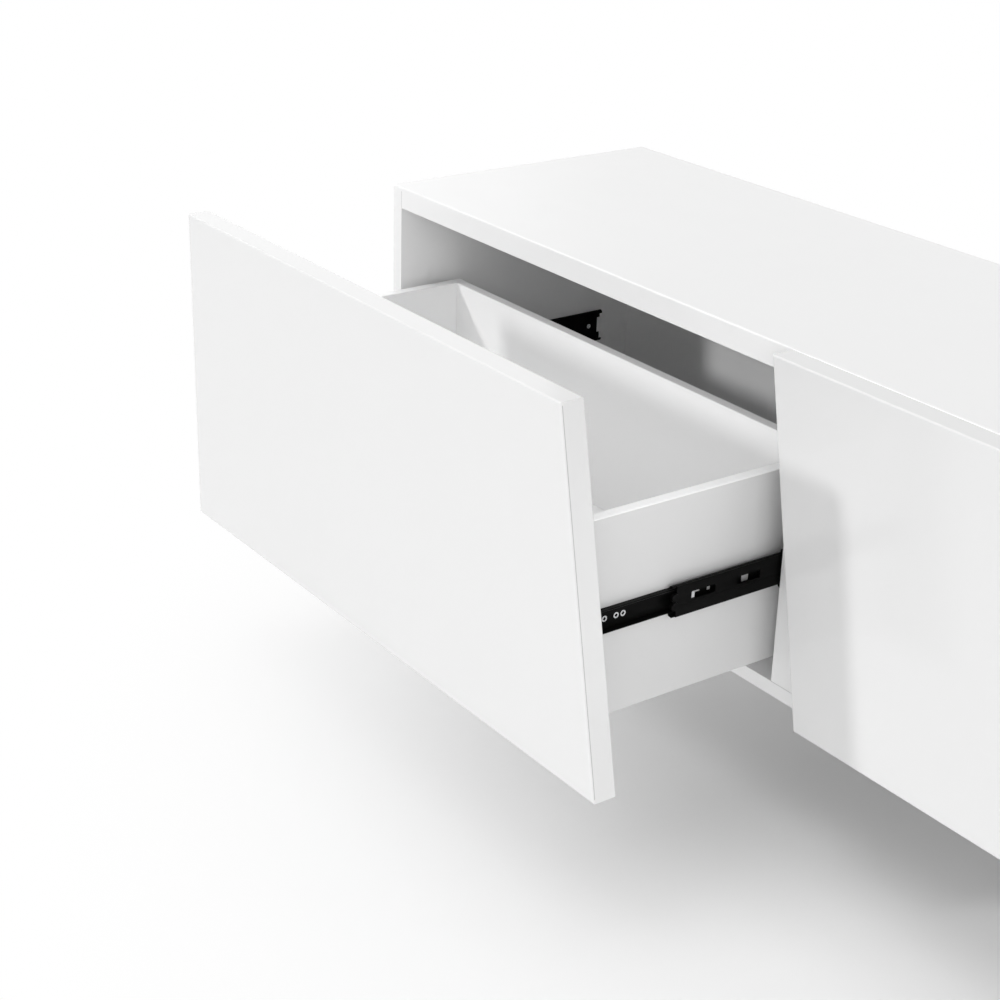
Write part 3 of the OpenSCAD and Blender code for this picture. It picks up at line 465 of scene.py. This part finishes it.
black_plastic = moulded("black_plastic", grey(0.002), grey(0.005), (0.30, 0.45))
black_plastic.node_tree.nodes["Principled BSDF"].inputs["Specular IOR Level"].default_value = 0.06
white_plastic = moulded("white_plastic", (0.76, 0.76, 0.75), (0.82, 0.82, 0.81), (0.32, 0.44))

beech, tree, shader = new_finish("beech")
dark_beech, light_beech = (0.50, 0.31, 0.17), (0.68, 0.47, 0.29)
flecks = grain(tree, scale=700, detail=3, stretch=(0.15, 1, 0.15))
tree.links.new(two_tone(tree, flecks, dark_beech, light_beech), shader.inputs["Base Color"])
tree.links.new(spread(tree, flecks, 0.55, 0.7), shader.inputs["Roughness"])
relief(tree, shader, flecks, strength=0.2, height=0.0001)
print("plastics and beech made")

# %% [markdown]
# ## Dressing the pieces
# Every piece of the model gets one finish. The record already sorts the pieces by what they are
# made of, so most are dressed by that list. Only the lacquered boards need a choice between front,
# carcass and drawer box, and the drawers' screws have a finish of their own.

# %% Sort the finishes
finish_of_slot = {
    "white_board": thin_board,
    "black_steel": slide_steel,
    "bright_steel": zinc_plate,
    "brushed_leg": brushed_tube,
    "beech": beech,
    "black_plastic": black_plastic,
    "white_plastic": white_plastic,
    "zinc_fitting": nickel_plate,
}


def finish_for(piece, slot):
    """The finish of a piece, from its name where that says enough, or else from its slot."""
    drawer = piece.rsplit("_drawer", 1)[0] + "_drawer"
    if piece.endswith("_fixings"):
        return screw_finish[drawer]
    if slot != "white_lacquer":
        return finish_of_slot[slot]
    if piece in ("left_drawer_front", "centre_drawer_front", "flap_door"):
        return front_lacquer
    return box_finish.get(drawer, carcass_finish)


print("finishes sorted")

# %% Dress every piece
for part in frame["record"]["subparts"]:
    mesh = frame["nodes"][part["node"]].data
    mesh.materials.clear()
    mesh.materials.append(finish_for(part["node"], part["material_slot"]))

# %% [markdown]
# ## Floor
# The stand is shown in a white studio: pale paper that runs up into a white background. Paper
# could be bent up behind the stand as a real sweep is, but a flat floor is enough when the camera
# sees it turn white with distance. Near the stand it is plain pale paper and keeps the shadow.
# Farther off it goes over to a glow whose strength is exactly 1, which is white. Only what the
# camera and glossy surfaces see turns white. All other light bounces off plain paper, so the glow
# lights nothing. That plain paper is a little paler than the paper that is seen, so the undersides
# get some more light.

# %% Lay the floor
floor_mesh = bpy.data.meshes.new("floor")
half = 14
corners = [(-half, -half, 0), (half, -half, 0), (half, half, 0), (-half, half, 0)]
floor_mesh.from_pydata(corners, [], [(0, 1, 2, 3)])
floor = bpy.data.objects.new("floor", floor_mesh)
bpy.context.scene.collection.objects.link(floor)
print("floor laid,", 2 * half, "m square")

# %% Make the paper
paper = bpy.data.materials.new("studio_paper")
paper.use_nodes = True
tree = paper.node_tree
tree.nodes.remove(tree.nodes["Principled BSDF"])


def plain_paper(tree, shade):
    """Matt paper of one shade."""
    matt = tree.nodes.new("ShaderNodeBsdfDiffuse")
    matt.inputs["Color"].default_value = (*grey(shade), 1)
    return matt.outputs["BSDF"]


def blend_shaders(tree, factor, first, second):
    """The first shader where the factor is 0, the second where it is 1."""
    mix = tree.nodes.new("ShaderNodeMixShader")
    for socket, link in zip(mix.inputs, (factor, first, second)):
        tree.links.new(link, socket)
    return mix.outputs["Shader"]


def seen_or_mirrored(tree):
    """1 for what the camera sees, directly, mirrored or through glass; 0 for all other light."""
    rays = tree.nodes.new("ShaderNodeLightPath").outputs
    mirrored = number_step(tree, "MAXIMUM", rays["Is Glossy Ray"], rays["Is Transmission Ray"])
    return number_step(tree, "MAXIMUM", rays["Is Camera Ray"], mirrored)


pure_white = (*grey(1), 1)
glow = tree.nodes.new("ShaderNodeEmission")
glow.inputs["Color"].default_value = pure_white
glow.inputs["Strength"].default_value = 1.0
print("paper begun")

# %% [markdown]
# ## Where the paper turns white
# The plain paper has to reach as far as the shadow does, and with a drawer out the stand is three
# times as long as it is deep. So the plain patch is an oval and not a circle: distances along the
# stand count for less, and the patch is moved a little to the right, towards the end where the
# camera stands. From its rim on, a smooth step takes the paper over to white.

# %% Let the paper turn white with distance
along, sideways = 0.62, -0.22  # what a length along the stand counts for, and the shift
plain_until, white_from = 0.4, 1.05  # metres from the middle of the patch
seen_shade, bounce_shade = 0.8, 0.9

place = tree.nodes.new("ShaderNodeTexCoord").outputs["Object"]
squeezed = vector_step(tree, "MULTIPLY_ADD", place, (along, 1.0, 1.0), (sideways, 0.0, 0.0))
fade = tree.nodes.new("ShaderNodeMapRange")
fade.interpolation_type = "SMOOTHSTEP"
fade.inputs["From Min"].default_value = plain_until
fade.inputs["From Max"].default_value = white_from
tree.links.new(vector_step(tree, "LENGTH", squeezed), fade.inputs["Value"])
seen_paper, bouncing_paper = plain_paper(tree, seen_shade), plain_paper(tree, bounce_shade)
shown_paper = blend_shaders(tree, fade.outputs["Result"], seen_paper, glow.outputs["Emission"])
whole_paper = blend_shaders(tree, seen_or_mirrored(tree), bouncing_paper, shown_paper)
tree.links.new(whole_paper, tree.nodes["Material Output"].inputs["Surface"])
floor_mesh.materials.append(paper)
print("paper laid on the floor")

# %% [markdown]
# ## Background
# The world is what lies beyond the floor. It is white, at a strength of exactly 1, to the camera
# and in reflections. As a lamp it is very weak and only keeps the deepest corners from going
# black.

# %% Hang the background
world = bpy.data.worlds.new("studio")
world.use_nodes = True
bpy.context.scene.world = world
tree = world.node_tree
dim = tree.nodes["Background"]
dim.inputs["Color"].default_value = pure_white
dim.inputs["Strength"].default_value = 0.06
white = tree.nodes.new("ShaderNodeBackground")
white.inputs["Color"].default_value = pure_white
white.inputs["Strength"].default_value = 1.0
sky_parts = dim.outputs["Background"], white.outputs["Background"]
sky = blend_shaders(tree, seen_or_mirrored(tree), *sky_parts)
tree.links.new(sky, tree.nodes["World Output"].inputs["Surface"])
print("background is white")

# %% [markdown]
# ## Lamps
# A studio for white furniture is lit from all around with large soft lamps, or the white would
# have no form. A small lamp casts the one crisp shadow, and the wide ones fill it. Area lamps
# could be placed at real distances, but their light falls off along a two-metre stand. A sun has
# no fall-off, and its width in degrees sets how soft it is, as the size of a softbox does.

# %% Choose the lamps
lamps = [  # name, direction it shines from, how wide it looks in degrees, strength
    ("key", (-0.384, -0.835, 0.393), 5, 0.93),
    ("above_in_front", (-0.2, -0.6, 0.78), 40, 0.72),
    ("overhead", (-0.1, -0.1, 0.99), 40, 1.0),
    ("right_side", (0.96, -0.22, 0.1), 50, 1.1),
    ("right_front", (0.66, -0.68, 0.3), 45, 0.72),
    ("behind", (0.0, 0.7, 0.7), 60, 0.8),
    ("over_right", (0.62, 0.25, 0.74), 50, 0.5),
    ("left_side", (-0.95, 0.1, 0.3), 60, 0.44),
]
print("lamps to set up:", ", ".join(lamp[0] for lamp in lamps))

# %% Light the stand
for name, shining_from, width, strength in lamps:
    light = bpy.data.lights.new(name, "SUN")
    light.energy = strength
    light.angle = math.radians(width)
    lamp = bpy.data.objects.new(name, light)
    bpy.context.scene.collection.objects.link(lamp)
    lamp.rotation_euler = Vector(shining_from).to_track_quat("Z", "Y").to_euler()
print("studio lit by", len(bpy.data.lights), "lamps")

# %% [markdown]
# ## Finish
# The colours are written as they should look, so the view transform is the plain one.

# %% Set the view transform
bpy.context.scene.view_settings.view_transform = "Standard"
